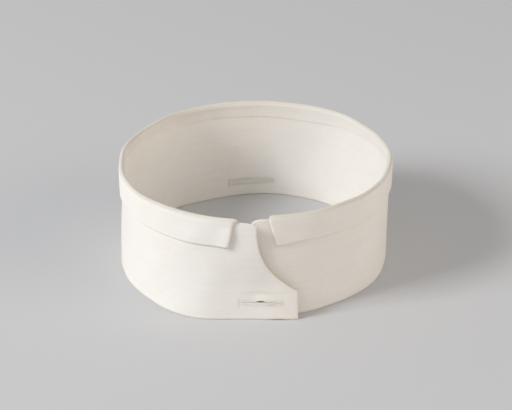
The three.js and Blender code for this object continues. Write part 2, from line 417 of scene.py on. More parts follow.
@dataclass
class ClosedSheet:
    """Two faces of cloth on one grid, which meet along their rounded edges, made into one closed mesh."""

    name: str
    outer: np.ndarray
    inner: np.ndarray
    flat: np.ndarray
    edge: np.ndarray
    # Share of painted shade at each point, which darkens the crest.
    crest: np.ndarray
    open_rows: tuple = ()
    weld: float = 2e-6

    def build(self) -> bpy.types.Object:
        """Make the mesh object.

        Returns:
            The object, with a UV map in metres of the flat cloth and attributes for the distance to its edge and
            for the painted shade that darkens its crest.
        """
        rows, columns, _ = self.outer.shape
        count = rows * columns
        points = np.concatenate((self.outer.reshape(-1, 3), self.inner.reshape(-1, 3)))
        flat = np.tile(self.flat.reshape(-1, 2), (2, 1))
        edge = np.tile(self.edge.reshape(-1), 2)
        crest = np.tile(self.crest.reshape(-1), 2)
        spots = np.round(points / self.weld).astype(np.int64)
        _, first, index = np.unique(spots, axis=0, return_index=True, return_inverse=True)
        index = index.reshape(-1)
        faces = []
        for row in range(rows - 1):
            if row in self.open_rows:
                continue
            lower = row * columns + np.arange(columns - 1)
            quad = np.stack((lower, lower + 1, lower + columns + 1, lower + columns), axis=1)
            faces.append(index[quad][:, ::-1])
            faces.append(index[quad + count])
        corners = np.concatenate(faces)
        mesh = bpy.data.meshes.new(self.name)
        polygons = []
        for face in corners.tolist():
            ring = [corner for at, corner in enumerate(face) if corner != face[at - 1]]
            if len(ring) >= 3 and len(set(ring)) == len(ring):
                polygons.append(ring)
        mesh.from_pydata(points[first].tolist(), [], polygons)
        mesh.polygons.foreach_set("use_smooth", np.ones(len(mesh.polygons), bool))
        loops = np.empty(len(mesh.loops), np.int64)
        mesh.loops.foreach_get("vertex_index", loops)
        uv = mesh.uv_layers.new(name="flat_cloth")
        uv.uv.foreach_set("vector", (flat[first][loops] * MM).astype(np.float32).ravel())
        write(mesh, "edge_distance", edge[first] * MM)
        write(mesh, "crest_shade", crest[first])
        mesh.update()
        return show(self.name, mesh)


@dataclass
class Slit:
    """Worked buttonhole: a cut of the strip at one height, a little open over part of its length."""

    name: str
    centre: float
    height: float
    length: float
    open_at: float
    open_half: float
    open_width: float
    closed_width: float = 0.22
    narrowing: float = 0.6
    # Shares of the length at which the outer half starts to narrow, and over which it does.
    narrow_at: tuple = (0.1, 0.2)
    arch_height: float = 0.3
    arch_half: float = 0.6

    def share(self, s: np.ndarray) -> np.ndarray:
        """Lengths along the strip as shares of the cut's length from its middle."""
        return (s - self.centre) / self.length

    def gap(self, s: np.ndarray) -> np.ndarray:
        """Width of the cut at lengths along the strip.

        Args:
            s: Lengths along the strip from the centre back.

        Returns:
            Widths.
        """
        share = self.share(s)
        narrowed = 1 - self.narrowing * smooth((-share - self.narrow_at[0]) / self.narrow_at[1])
        ends = np.sqrt(np.maximum(1.0 - (2 * share) ** 2, 0.0)) * narrowed
        return ends * self.closed_width + self.open_width * bump(share, self.open_at, self.open_half)

    def arch(self, s: np.ndarray) -> np.ndarray:
        """Height by which the pulled cut stands above its straight line.

        Args:
            s: Lengths along the strip from the centre back.

        Returns:
            Heights.
        """
        share = self.share(s)
        pulled = bump(share, 0.0, self.arch_half) + bump(share, self.open_at, self.open_half)
        return self.arch_height * self.open_width * pulled

    def distance(self, s: np.ndarray, rise: np.ndarray) -> np.ndarray:
        """Distance to the cut from lengths along the strip and heights above its line."""
        past = np.maximum(np.abs(s - self.centre) - self.length / 2, 0.0)
        return np.hypot(past, rise)


@dataclass
class StandingBand:
    """The stiff strip of several plies that stands round the neck, with a shaped tab at each end."""

    wall: Wall
    thickness: float = 1.0
    lap_length: float = 20.2
    tip_height: float = 14.8
    tip_corner: float = 1.3
    shoulder_length: float = 1.2
    shoulder_width: float = 5.6
    shoulder_drop: float = 2.6
    hollow_drop: float = 0.62
    hollow_back: float = 0.48
    hollow_rise: float = 0.19
    foot_radius: float = 0.7
    end_radius: float = 0.85
    slit_radius: float = 0.32
    slit_row_height: float = 9.0
    station: float = 1.6
    end_zone: float = 10.0
    end_stations: int = 44
    foot_seam: float = 2.5
    edge_seam: float = 1.7
    seam_sink: float = 0.07
    seam_width: float = 0.32
    slit_spread: float = 1.5
    # Lengths from the centre back and from both fronts over which the slits' line keeps level.
    slit_bend: tuple = (20.0, 60.0)
    slit_inset: float = 3.7
    steepest: float = 0.45
    hollow_points: int = 27
    # Painted shade on the top edge: its strength, and how far down it goes.
    rim_shade: tuple = (0.6, 1.0)
    # Half length of the closer columns at the back, and their step.
    fine_zone: tuple = (14.0, 0.7)
    seam_start: float = -2.0
    # Height, middle past the front centre, half length, and the height at which it ends.
    foot_wave: tuple = (0.38, 11.5, 6.5, 9.0)
    # Depth, start before the front centre, length over which it grows, and the height at which it ends.
    tip_flare: tuple = (0.8, 16.0, 24.0, 20.0)
    # Depth, half length or share of the slit's length, height above the slit, and half height.
    mouth_puckers: tuple = ((0.3, 5.5, 1.0, 2.2), (0.1, 4.0, -0.8, 1.6))
    long_puckers: tuple = ((-0.13, 0.75, 4.0, 2.2), (0.1, 0.7, 6.2, 2.6), (-0.08, 0.8, -3.6, 2.0))
    corner_turns: tuple = (22.5, 45.0, 67.5)
    shoulder_turns: tuple = (20.0, 40.0, 57.8, 67.4, 75.8, 82.9, 90.0)
    tip_rows: tuple = (
        *(0.0, 0.03, 0.12, 0.27, 0.48, 0.9, 1.5, 2.0, 2.3, 2.5, 2.7, 3.0, 3.8, 4.8, 5.8, 6.8, 7.6, 8.2, 8.6),
        *(8.82, 8.92, 8.97, 9.0, 9.0, 9.03, 9.08, 9.18, 9.4, 9.8, 10.4, 11.2, 12.1, 12.9, 13.5),
    )
    rim_columns: tuple = (0.88, 0.66, 0.45, 0.26, 0.12, 0.03, 0.0)
    slits: tuple = field(init=False)

    def __post_init__(self) -> None:
        """Set out the three buttonholes."""
        front = self.wall.front_centre + self.slit_inset
        # Name, centre, height and length, and where, over which share and how wide it is open.
        self.slits = (
            Slit("outer_tab_buttonhole", -front, 8.75, 19.4, 0.03, 0.17, 1.0),
            Slit("inner_tab_buttonhole", front, 8.75, 19.4, 0.05, 0.3, 0.45),
            Slit("back_buttonhole", 0.0, 8.0, 21.4, -0.08, 0.34, 0.4),
        )

    def hollow(self) -> np.ndarray:
        """Points of the tab's hollow curve from the tip up to the shoulder, as length past the centre and height.

        Returns:
            Points, shape (N, 2).
        """
        foot = np.array([self.lap_length - self.tip_corner, self.tip_height])
        top = np.array([self.shoulder_length, self.wall.band_height - self.shoulder_drop])
        run, rise = foot[0] - top[0], top[1] - foot[1]
        low = foot + np.array([-self.hollow_back * run, self.hollow_rise * rise])
        high = top - np.array([0.0, self.hollow_drop * rise])
        t = np.linspace(0, 1, self.hollow_points)[:, None]
        return (1 - t) ** 3 * foot + 3 * (1 - t) ** 2 * t * low + 3 * (1 - t) * t**2 * high + t**3 * top

    def outline(self) -> np.ndarray:
        """Outline of a tab's end from its foot to the top edge, as length past the centre and height.

        Returns:
            Points, shape (N, 2).
        """
        turn = np.radians(self.corner_turns)
        across = self.lap_length - self.tip_corner * (1 - np.cos(turn))
        corner = np.stack((across, self.tip_height - self.tip_corner * (1 - np.sin(turn))), axis=1)
        turn = np.radians(self.shoulder_turns)
        hollow = self.hollow()
        across = hollow[-1, 0] - self.shoulder_width * (1 - np.cos(turn))
        shoulder = np.stack((across, hollow[-1, 1] + self.shoulder_drop * np.sin(turn)), axis=1)
        tip = np.stack((np.full(len(self.tip_rows), self.lap_length), self.tip_rows), axis=1)
        return np.concatenate((tip, corner, hollow, shoulder))

    def stations(self) -> tuple:
        """Lengths of the grid's even columns and shares of the two end zones.

        Returns:
            Lengths of the even columns, and shares of the end zones' columns.
        """
        body = self.wall.front_centre - self.end_zone
        fine_half, fine_step = self.fine_zone
        fine = np.arange(-fine_half, fine_half + fine_step / 2, fine_step)
        steps = round((body - fine_half) / self.station)
        side = np.linspace(fine_half, body, steps + 1)[1:]
        return np.concatenate((-side[::-1], fine, side)), np.arange(1, self.end_stations) / self.end_stations

    def slit_line(self, s: np.ndarray) -> np.ndarray:
        """Height of the buttonholes' line along the strip.

        Args:
            s: Lengths along the strip from the centre back.

        Returns:
            Heights.
        """
        back, front = self.slits[2].height, self.slits[0].height
        level, ends = self.slit_bend
        line = back + (front - back) * smooth((np.abs(s) - level) / (self.wall.front_centre - ends))
        return line + sum(slit.arch(s) for slit in self.slits)

    def grid(self) -> tuple:
        """Lengths and heights of the flat grid, and its row below the buttonholes' line.

        Returns:
            Lengths and heights of the grid's points, and the number of the row below the line.
        """
        outline = self.outline()
        even, shares = self.stations()
        body = even[-1]
        tangent = np.gradient(outline, axis=0)
        steep = np.abs(tangent[:, 1]) / np.maximum(np.hypot(tangent[:, 0], tangent[:, 1]), FINE)
        steep[np.isclose(outline[:, 0], self.lap_length)] = 1.0
        stretch = 1.0 / np.clip(steep, self.steepest, 1.0)
        close = np.array(self.rim_columns)
        ends = self.wall.front_centre + outline[:, 0]
        inner_reach = ends - close[0] * stretch - body
        zone = body + shares[None] * inner_reach[:, None]
        rim = ends[:, None] - close[None] * stretch[:, None]
        side = np.concatenate((zone, rim), axis=1)
        s = np.concatenate((-side[:, ::-1], np.tile(even, (len(outline), 1)), side), axis=1)
        z = np.tile(outline[:, 1:], (1, s.shape[1]))
        return s, z, int(np.argmax(outline[:, 1] >= self.slit_row_height))

    def seam_pull(self, z: np.ndarray) -> np.ndarray:
        """Share of the thickness that the seam's thread squeezes out of the cloth."""
        return self.seam_sink * np.exp(-(((z - self.foot_seam) / self.seam_width) ** 2))

    def foot_lift(self, s: np.ndarray, z: np.ndarray) -> np.ndarray:
        """Small wave of the outer tab's foot off the surface.

        Args:
            s: Lengths along the strip from the centre back.
            z: Heights above the foot.

        Returns:
            Heights by which points are lifted.
        """
        past = -s - self.wall.front_centre
        height, at, half, reach = self.foot_wave
        return height * bump(past, at, half) * (1 - smooth(z / reach))

    def lean(self, s: np.ndarray, z: np.ndarray) -> np.ndarray:
        """Distance outwards by which the band leaves the wall: puckers at the buttonholes, and the tip's flare.

        Args:
            s: Lengths along the strip from the centre back.
            z: Heights above the foot.

        Returns:
            Distances outwards.
        """
        rise = z - self.slit_line(s)
        out = np.zeros_like(s)
        for slit in self.slits:
            mouth = slit.centre + slit.open_at * slit.length
            for depth, half, height, reach in self.mouth_puckers:
                out += slit.open_width * depth * bump(s, mouth, half) * bump(rise, height, reach)
            for depth, share, height, reach in self.long_puckers:
                out += slit.open_width * depth * bump(s, slit.centre, slit.length * share) * bump(rise, height, reach)
        depth, back, run, reach = self.tip_flare
        past = -s - self.wall.front_centre
        return out + depth * smooth((past + back) / run) * (1 - smooth(z / reach))

    def build(self) -> bpy.types.Object:
        """Make the band's mesh.

        Returns:
            The band's object.
        """
        s, base, slit_row = self.grid()
        line = self.slit_line(s)
        tip_edge = self.tip_height - self.tip_corner
        below = base * line / self.slit_row_height
        above = line + (base - self.slit_row_height) * (tip_edge - line) / (tip_edge - self.slit_row_height)
        z = np.where(base <= self.slit_row_height, below, np.where(base < tip_edge, above, base))
        side = np.where(np.arange(len(s)) <= slit_row, -1.0, 1.0)[:, None]
        rise = z - line
        slit_edge = np.full_like(s, FAR)
        for slit in self.slits:
            near = slit.distance(s, rise)
            slit_edge = np.minimum(slit_edge, near)
            z = z + side * slit.gap(s) / 2 * np.exp(-np.abs(rise) / self.slit_spread)
        z = z + self.foot_lift(s, z)
        outline = self.outline()
        past = np.abs(s) - self.wall.front_centre
        level = np.minimum(base, self.wall.band_height - base)
        end = np.full_like(s, FAR)
        at_end = past > -self.end_zone - 1.0
        end[at_end] = distance_to_line(np.stack((past, base), axis=-1)[at_end], outline)
        end[:, [0, -1]] = 0.0
        edge = np.minimum(np.maximum(level, 0.0), end)
        seam = np.exp(-(((edge - self.edge_seam) / self.seam_width) ** 2))
        seam = seam * (past > self.seam_start) * (base > self.foot_seam)
        half = self.thickness / 2 * (1 - self.seam_pull(base) - self.seam_sink * seam)
        half = half * rounding(level, self.foot_radius) * rounding(end, self.end_radius)
        half = half * rounding(slit_edge, self.slit_radius)
        middle = self.lean(s, z)
        outer = self.wall.place(s, z, middle + half)
        inner = self.wall.place(s, z, middle - half)
        flat = np.stack((s, z), axis=-1)
        # Painted shade that darkens the band's top edge, where light from above falls brightest.
        most, reach = self.rim_shade
        crest = most * smooth((z - self.wall.band_height + reach) / reach)
        return ClosedSheet("standing_band", outer, inner, flat, edge, crest, (slit_row,)).build()

    def flat_size(self) -> tuple:
        """Width and length that the band was cut to, and its area, in metres.

        Returns:
            The width and length as a pair, and the area.
        """
        outline = self.outline()
        length = 2 * (self.wall.front_centre + self.lap_length)
        reach = self.wall.front_centre + outline[:, 0]
        area = ((reach[1:] + reach[:-1]) * np.diff(outline[:, 1])).sum()
        return (self.wall.band_height * MM, length * MM), float(area) * MM * MM


@dataclass
class TurnedEdge:
    """The strip folded over the band's top, sewn down by its two legs and left open at the front notch."""

    wall: Wall
    outer_leg: float = 14.2
    inner_leg: float = 8.3
    seat: float = 1.8
    cavity: float = 0.53
    cavity_top: float = 50.85
    rim_radius: float = 1.3
    rim_shift: float = 0.5
    rim_height: float = 50.7
    rim_rise: float = 2.1
    outer_face: float = 1.8
    hem_face: float = 1.62
    inner_face: float = 0.8
    inner_hem_face: float = 0.62
    inner_hem_step: float = 0.13
    hem_radius: float = 0.55
    end_radius: float = 0.4
    # How far the face falls off at the outer tab's end and at the inner tab's.
    end_bevels: tuple = (0.3, 0.85)
    bevel_width: float = 0.75
    flare_depth: float = 0.9
    flare_reach: float = 9.0
    station: float = 1.5
    seam_rise: float = 1.5
    leg_rows: int = 16
    rim_rows: int = 14
    # Share of the way down the leg, and how far its end stays back from the front centre.
    outer_tab_ends: tuple = ((0.0, 9.4), (0.12, 9.6), (0.5, 10.2), (0.75, 10.8), (1.0, 11.6))
    inner_tab_ends: tuple = ((0.0, 6.9), (0.25, 7.8), (0.5, 8.6), (0.75, 9.4), (1.0, 10.2))
    # The same on the crest, and how much lower the corner of each end hangs.
    crest_ends: tuple = (7.2, 6.7)
    corner_drops: tuple = (0.0, 1.2)
    corner_reach: float = 11.0
    corner_ease: float = 1.5
    crest_slant: float = 2.2
    flare_share: float = 0.45
    # Angle where the inner hem stands out most, and the half angle over which it does.
    hem_swell: tuple = (26.0, 48.0)
    hem_rows: tuple = (0.0, 0.003, 0.011, 0.024, 0.042, 0.075, 0.1, 0.115, 0.13, 0.16)
    leg_start: float = 0.2
    end_columns: tuple = (1.0, 0.72, 0.48, 0.27, 0.12, 0.03, 0.0)
    end_zone: float = 30.0
    zone_columns: int = 18
    # Depth by which the rim sinks at its ends, and over which length.
    rim_sink: tuple = (1.15, 1.7)
    bevel_top: float = 0.45
    bevel_share: float = 0.3
    cavity_rise: float = 0.35
    inner_hem_radius: float = 0.3
    seam_width: float = 0.35
    # Share of the thickness that the seams press in, outside and inside.
    seam_sinks: tuple = (0.07, 0.1)
    # Painted shade on the crest: how far below the crest it starts, and the height over which it grows.
    crest_shade: tuple = (2.0, 1.8)
    # Painted shade on the inside just below the rim: its strength, how far below the rim it starts, and the height
    # over which it grows.
    inner_rim_shade: tuple = (0.32, 7.0, 8.0)
    # How far before the crest that painted shade starts on the way over the rim, and over which turn it grows.
    inner_rim_shade_turn: tuple = (0.5, 0.8)
    arc_share: float = 0.75
    cut_off: float = 3.0
    measured_from: float = 10.0
    measures: int = 200

    def leg_end(self, s: np.ndarray, face: Face) -> np.ndarray:
        """Height of a leg's lower edge along the strip.

        Args:
            s: Lengths along the strip from the centre back.
            face: Face that the leg lies on.

        Returns:
            Heights.
        """
        angle = self.wall.angle_at(s)
        if face is Face.INNER:
            return self.wall.band_height + self.seat - self.inner_leg * self.wall.form("inner_leg", angle)
        corner = self.wall.front_centre - self.outer_tab_ends[-1][1]
        near = smooth(1 - (corner - np.abs(s)) / self.corner_reach) ** self.corner_ease
        drop = np.where(s < 0, self.corner_drops[0], self.corner_drops[1]) * near
        return self.wall.band_height + self.seat - self.outer_leg * self.wall.form("outer_leg", angle) - drop

    def ends(self, share: np.ndarray, turn: np.ndarray) -> tuple:
        """How far the strip's two ends stay back from the front centre.

        Args:
            share: Shares of the way down a leg.
            turn: Turns over the rim, from the outer to the inner leg.

        Returns:
            Distances at the outer and at the inner tab.
        """
        over = smooth(turn / (math.pi / 2))
        found = []
        for table, crest in zip((self.outer_tab_ends, self.inner_tab_ends), self.crest_ends):
            down = np.interp(share, [row[0] for row in table], [row[1] for row in table])
            found.append(down + (crest + self.crest_slant * share - down) * over)
        return tuple(found)

    def flare(self, s: np.ndarray, share: np.ndarray) -> np.ndarray:
        """Distance by which the outer leg curls away from the band at its end on the outer tab.

        Args:
            s: Lengths along the strip from the centre back.
            share: Shares of the way down a leg.

        Returns:
            Distances outwards.
        """
        back = np.interp(share, [row[0] for row in self.outer_tab_ends], [row[1] for row in self.outer_tab_ends])
        from_end = s + self.wall.front_centre - back
        near = smooth(1 - from_end / self.flare_reach) ** self.corner_ease
        return self.flare_depth * near * smooth(share / self.flare_share)

    def inner_face_at(self, s: np.ndarray, share: np.ndarray) -> np.ndarray:
        """Distance inwards of the inner leg's face, which thins to a hem that stands out most behind the neck.

        Args:
            s: Lengths along the strip from the centre back.
            share: Shares of the way down a leg.

        Returns:
            Distances inwards from the wall's middle.
        """
        angle = self.wall.angle_at(s)
        hem = self.inner_hem_face + self.inner_hem_step * bump(angle, *self.hem_swell)
        return self.inner_face + (hem - self.inner_face) * share

    def profile(self) -> tuple:
        """Shares down the legs and turns over the rim of the grid's rows, from the outer hem to the inner hem.

        Returns:
            Shares and turns, a pair for each row.
        """
        up = 1.0 - np.concatenate((self.hem_rows, np.linspace(self.leg_start, 1.0, self.leg_rows)))
        turn = np.linspace(0, math.pi, self.rim_rows + 2)[1:-1]
        share = np.concatenate((up, np.zeros(len(turn)), up[::-1]))
        angle = np.concatenate((np.zeros(len(up)), turn, np.full(len(up), math.pi)))
        return share, angle

    def columns(self, share: np.ndarray, turn: np.ndarray) -> tuple:
        """Lengths along the strip of the grid's columns for each row, and distances to the strip's nearer end.

        Args:
            share: Shares of the way down a leg.
            turn: Turns over the rim, from the outer to the inner leg.

        Returns:
            Lengths of the grid's points, and their distances to the nearer end.
        """
        outer_tab, inner_tab = self.ends(share, turn)
        body = self.wall.front_centre - self.end_zone
        even = np.linspace(-body, body, round(2 * body / self.station) + 1)
        close = np.array(self.end_columns)
        left, right = self.wall.front_centre - outer_tab, self.wall.front_centre - inner_tab
        shares = np.arange(1, self.zone_columns + 1) / self.zone_columns
        zone_left = body + shares * (left[:, None] - close[0] - body)
        zone_right = body + shares * (right[:, None] - close[0] - body)
        rim_left = left[:, None] - close[None, 1:]
        rim_right = right[:, None] - close[None, 1:]
        low = -np.concatenate((zone_left, rim_left), axis=1)[:, ::-1]
        high = np.concatenate((zone_right, rim_right), axis=1)
        s = np.concatenate((low, np.tile(even, (len(share), 1)), high), axis=1)
        return s, np.minimum(s + left[:, None], right[:, None] - s)

    def build(self) -> bpy.types.Object:
        """Make the turned edge's mesh.

        Returns:
            The turned edge's object.
        """
        share, turn = self.profile()
        s, from_end = self.columns(share, turn)
        from_end = np.maximum(from_end, 0.0)
        share, turn = np.broadcast_to(share[:, None], s.shape), np.broadcast_to(turn[:, None], s.shape)
        on_outer = turn < FINE
        on_inner = turn > math.pi - FINE
        hem = np.where(turn < math.pi / 2, self.leg_end(s, Face.OUTER), self.leg_end(s, Face.INNER))
        sink, sink_reach = self.rim_sink
        drop = sink * np.clip(1 - from_end / sink_reach, 0, 1) ** 2
        rim_height = self.rim_height - drop
        cavity_top = self.cavity_top - drop
        z_face = np.where(on_outer | on_inner, rim_height + (hem - rim_height) * share, rim_height)
        z_seat = np.where(on_outer | on_inner, cavity_top + (hem - cavity_top) * share, cavity_top)
        n_face = np.where(
            on_outer,
            self.outer_face + (self.hem_face - self.outer_face) * share,
            np.where(on_inner, -self.inner_face_at(s, share), self.rim_shift + self.rim_radius * np.cos(turn)),
        )
        bevel = np.where(s < 0, *self.end_bevels)
        top = self.bevel_top
        down = top + (1 - top) * smooth(share / self.bevel_share)
        outside = np.where(on_outer, down, top * (1 - smooth(turn / (math.pi / 2))))
        n_face = n_face - outside * bevel * np.clip(1 - from_end / self.bevel_width, 0, 1)
        curl = on_outer * self.flare(s, share)
        n_face = n_face + curl
        n_seat = np.where(on_outer, self.cavity + curl, np.where(on_inner, -self.cavity, self.cavity * np.cos(turn)))
        over = ~(on_outer | on_inner)
        z_face = z_face + over * self.rim_rise * np.sin(turn)
        z_seat = z_seat + over * self.cavity_rise * np.sin(turn)
        from_hem = np.where(over, FAR, np.abs(z_face - hem))
        hem_radius = np.where(on_inner, self.inner_hem_radius, self.hem_radius)
        round_off = rounding(from_hem, hem_radius) * rounding(from_end, self.end_radius)
        stitched = np.where(on_inner, self.seam_sinks[1], self.seam_sinks[0])
        stitched = np.exp(-(((from_hem - self.seam_rise) / self.seam_width) ** 2)) * stitched
        round_off = round_off * (1 - stitched)
        round_off[0], round_off[-1] = 0.0, 0.0
        round_off[:, 0], round_off[:, -1] = 0.0, 0.0
        n_mid, z_mid = (n_face + n_seat) / 2, (z_face + z_seat) / 2
        n_half, z_half = (n_face - n_seat) / 2 * round_off, (z_face - z_seat) / 2 * round_off
        outer = self.wall.place(s, z_mid + z_half, n_mid + n_half)
        inner = self.wall.place(s, z_mid - z_half, n_mid - n_half)
        steps = np.hypot(np.diff(n_face, axis=0), np.diff(z_face, axis=0))
        along = np.cumsum(np.vstack((np.zeros(s.shape[1]), steps)), axis=0)
        flat = np.stack((s, along), axis=-1)
        edge = np.minimum(np.where(over, FAR, from_hem), from_end)
        # Painted shade: the crest, where light from above falls brightest, and the inside just below the rim are
        # darkened.
        below, reach = self.crest_shade
        crest = smooth((z_face - self.rim_height - self.rim_rise + below + drop) / reach)
        most, below, reach = self.inner_rim_shade
        before, over_turn = self.inner_rim_shade_turn
        inner_shade = most * smooth((z_face - self.rim_height + below) / reach)
        inner_shade = inner_shade * smooth((turn - math.pi / 2 + before) / over_turn)
        crest = np.maximum(crest, inner_shade)
        return ClosedSheet("turned_over_edge", outer, inner, flat, edge, crest).build()

    def flat_size(self) -> tuple:
        """Width and length that the strip was cut to, and its area, in metres.

        Returns:
            The width and length as a pair, and the area.
        """
        reach = self.wall.front_centre - self.measured_from
        s = np.linspace(-reach, reach, self.measures)
        outer = self.rim_height - self.leg_end(s, Face.OUTER)
        inner = self.rim_height - self.leg_end(s, Face.INNER)
        over = math.pi * math.sqrt((self.rim_radius**2 + self.rim_rise**2) / 2) * self.arc_share
        width = float(outer.max() + inner.max()) + over
        length = 2 * self.wall.front_centre - self.outer_tab_ends[0][1] - self.inner_tab_ends[0][1]
        area = (float(outer.mean() + inner.mean()) + over) * (length - self.cut_off)
        return (width * MM, length * MM), area * MM * MM


@dataclass
class StitchRow:
    """One row of stitches: the path on a face that it follows, and the way that each stitch lies there.

    The stitches lie along the path or, where that is given, the flat way away from it.
    """

    s: np.ndarray
    z: np.ndarray
    n: np.ndarray
    face: Face
    closed: bool = False
    away: np.ndarray | None = None
    n_ahead: np.ndarray | None = None

    def lines(self, wall: Wall) -> tuple:
        """Work out the path.

        Args:
            wall: The wall that the path lies on.

        Returns:
            Points in metres, pairs of joined points, and at each point the way that its stitch lies and the way out.
        """
        points = wall.place(self.s, self.z, self.n)
        if self.away is None:
            lie = np.roll(points, -1, axis=0) - np.roll(points, 1, axis=0)
            if not self.closed:
                lie[0], lie[-1] = points[1] - points[0], points[-1] - points[-2]
        else:
            step = STRIDE * self.away
            lie = wall.place(self.s + step[:, 0], self.z + step[:, 1], self.n_ahead) - points
        lie = lie / np.maximum(np.linalg.norm(lie, axis=1, keepdims=True), FINE)
        at = np.arange(len(points))
        edges = np.stack((at, np.roll(at, -1)), axis=1)
        return points, edges if self.closed else edges[:-1], lie, wall.outward(self.s, self.z) * self.face.value


@dataclass
class StitchTree:
    """Geometry Nodes tree that lays one bent thread stitch at even steps along a path."""

    name: str = "stitch_row"
    inputs: tuple = (
        ("Spacing", 0.0020),
        ("Start", -0.0008),
        ("Reach", 0.0016),
        ("Thread Radius", 0.00013),
        ("Crown", 0.00016),
        ("Bite", 0.00012),
        ("Unevenness", 0.12),
    )
    seed: int = 5
    bend_steps: int = 4
    thread_sides: int = 6

    def build(self) -> bpy.types.NodeTree:
        """Build the tree, or give the one that is already there.

        Returns:
            The node tree.
        """
        if self.name in bpy.data.node_groups:
            return bpy.data.node_groups[self.name]
        tree = bpy.data.node_groups.new(self.name, "GeometryNodeTree")
        add_socket = tree.interface.new_socket
        add_socket("Geometry", in_out="INPUT", socket_type="NodeSocketGeometry")
        for name, value in self.inputs:
            add_socket(name, in_out="INPUT", socket_type="NodeSocketFloat").default_value = value
        add_socket("Seed", in_out="INPUT", socket_type="NodeSocketInt").default_value = self.seed
        add_socket("Finish", in_out="INPUT", socket_type="NodeSocketMaterial")
        add_socket("Geometry", in_out="OUTPUT", socket_type="NodeSocketGeometry")
        nodes = Nodes(tree)
        given = nodes.add("NodeGroupInput").outputs
        curve = nodes.add("GeometryNodeMeshToCurve", {"Mesh": given["Geometry"]}).outputs["Curve"]
        spaced = nodes.add("GeometryNodeResampleCurve", {"Curve": curve, "Length": given["Spacing"]}, mode="LENGTH")
        sizes = {
            "Min": nodes.math("SUBTRACT", 1.0, given["Unevenness"]),
            "Max": nodes.math("ADD", 1.0, given["Unevenness"]),
            "Seed": given["Seed"],
        }
        size = nodes.add("FunctionNodeRandomValue", sizes, data_type="FLOAT_VECTOR").outputs["Value"]
        copies = {"Points": spaced.outputs["Curve"], "Instance": self.thread(nodes, given), "Scale": size}
        placed = nodes.add("GeometryNodeInstanceOnPoints", copies | {"Rotation": self.turn(nodes)})
        real = nodes.add("GeometryNodeRealizeInstances", {"Geometry": placed.outputs["Instances"]})
        finished = {"Geometry": real.outputs["Geometry"], "Material": given["Finish"]}
        finish = nodes.add("GeometryNodeSetMaterial", finished)
        nodes.add("NodeGroupOutput", {"Geometry": finish.outputs["Geometry"]})
        return tree

    def thread(self, nodes: Nodes, given: bpy.types.NodeOutputs) -> Socket:
        """Add the nodes of one stitch, a short round thread that bites into the cloth at both ends.

        Args:
            nodes: The tree to add to.
            given: The outputs of the tree's input node.

        Returns:
            The socket that gives the stitch's mesh.
        """

        def spot(x: Socket, z: Socket) -> Socket:
            """Point at x and z."""
            return nodes.add("ShaderNodeCombineXYZ", {"X": x, "Z": z}).outputs["Vector"]

        start, reach = given["Start"], given["Reach"]
        bite, lift = nodes.math("MULTIPLY", given["Bite"], -1.0), nodes.math("MULTIPLY", given["Crown"], 2.0)
        corners = {
            "Start": spot(start, bite),
            "Middle": spot(nodes.math("MULTIPLY_ADD", reach, 0.5, start), lift),
            "End": spot(nodes.math("ADD", start, reach), bite),
        }
        bend = nodes.add("GeometryNodeCurveQuadraticBezier", corners | {"Resolution": self.bend_steps})
        around = {"Resolution": self.thread_sides, "Radius": given["Thread Radius"]}
        ring = nodes.add("GeometryNodeCurvePrimitiveCircle", around).outputs["Curve"]
        swept = {"Curve": bend.outputs["Curve"], "Profile Curve": ring, "Fill Caps": True}
        tube = nodes.add("GeometryNodeCurveToMesh", swept).outputs["Mesh"]
        return nodes.add("GeometryNodeSetShadeSmooth", {"Geometry": tube}).outputs["Geometry"]

    def turn(self, nodes: Nodes) -> Socket:
        """Add the nodes that turn a stitch to the way it lies and to its face.

        Args:
            nodes: The tree to add to.

        Returns:
            The socket that gives the rotation.
        """
        ways = {}
        for name, axis in (("lie", "Primary Axis"), ("outward", "Secondary Axis")):
            read = nodes.add("GeometryNodeInputNamedAttribute", {"Name": name}, data_type="FLOAT_VECTOR")
            ways[axis] = read.outputs["Attribute"]
        return nodes.add("FunctionNodeAxesToRotation", ways, primary_axis="X", secondary_axis="Z").outputs["Rotation"]


@dataclass
class Stitching:
    """Sewing threads of one seam or buttonhole, laid along its rows."""

    name: str
    wall: Wall
    finish: bpy.types.Material

    def lay(self, rows: list, sizes: dict) -> bpy.types.Object:
        """Lay stitches along rows and make them one plain mesh.

        Args:
            rows: The rows, each a StitchRow.
            sizes: Values of the stitch tree's named inputs.

        Returns:
            The stitches' object.
        """
        parts, count = [], 0
        for row in rows:
            points, edges, lie, outward = row.lines(self.wall)
            parts.append((points, edges + count, lie, outward))
            count += len(points)
        points, edges, lie, outward = (np.concatenate(part) for part in zip(*parts))
        paths = bpy.data.meshes.new("stitch_paths")
        paths.from_pydata(points.tolist(), edges.tolist(), [])
        write(paths, "lie", lie)
        write(paths, "outward", outward)
        piece = show(self.name, paths)
        tree = StitchTree().build()
        modifier = piece.modifiers.new("stitches", "NODES")
        modifier.node_group = tree
        named = {item.name: item.identifier for item in tree.interface.items_tree if item.in_out == "INPUT"}
        for name, value in (sizes | {"Finish": self.finish}).items():
            modifier[named[name]] = value
        mesh = made_real(piece)
        mesh.name = self.name
        piece.modifiers.clear()
        piece.data = mesh
        return piece


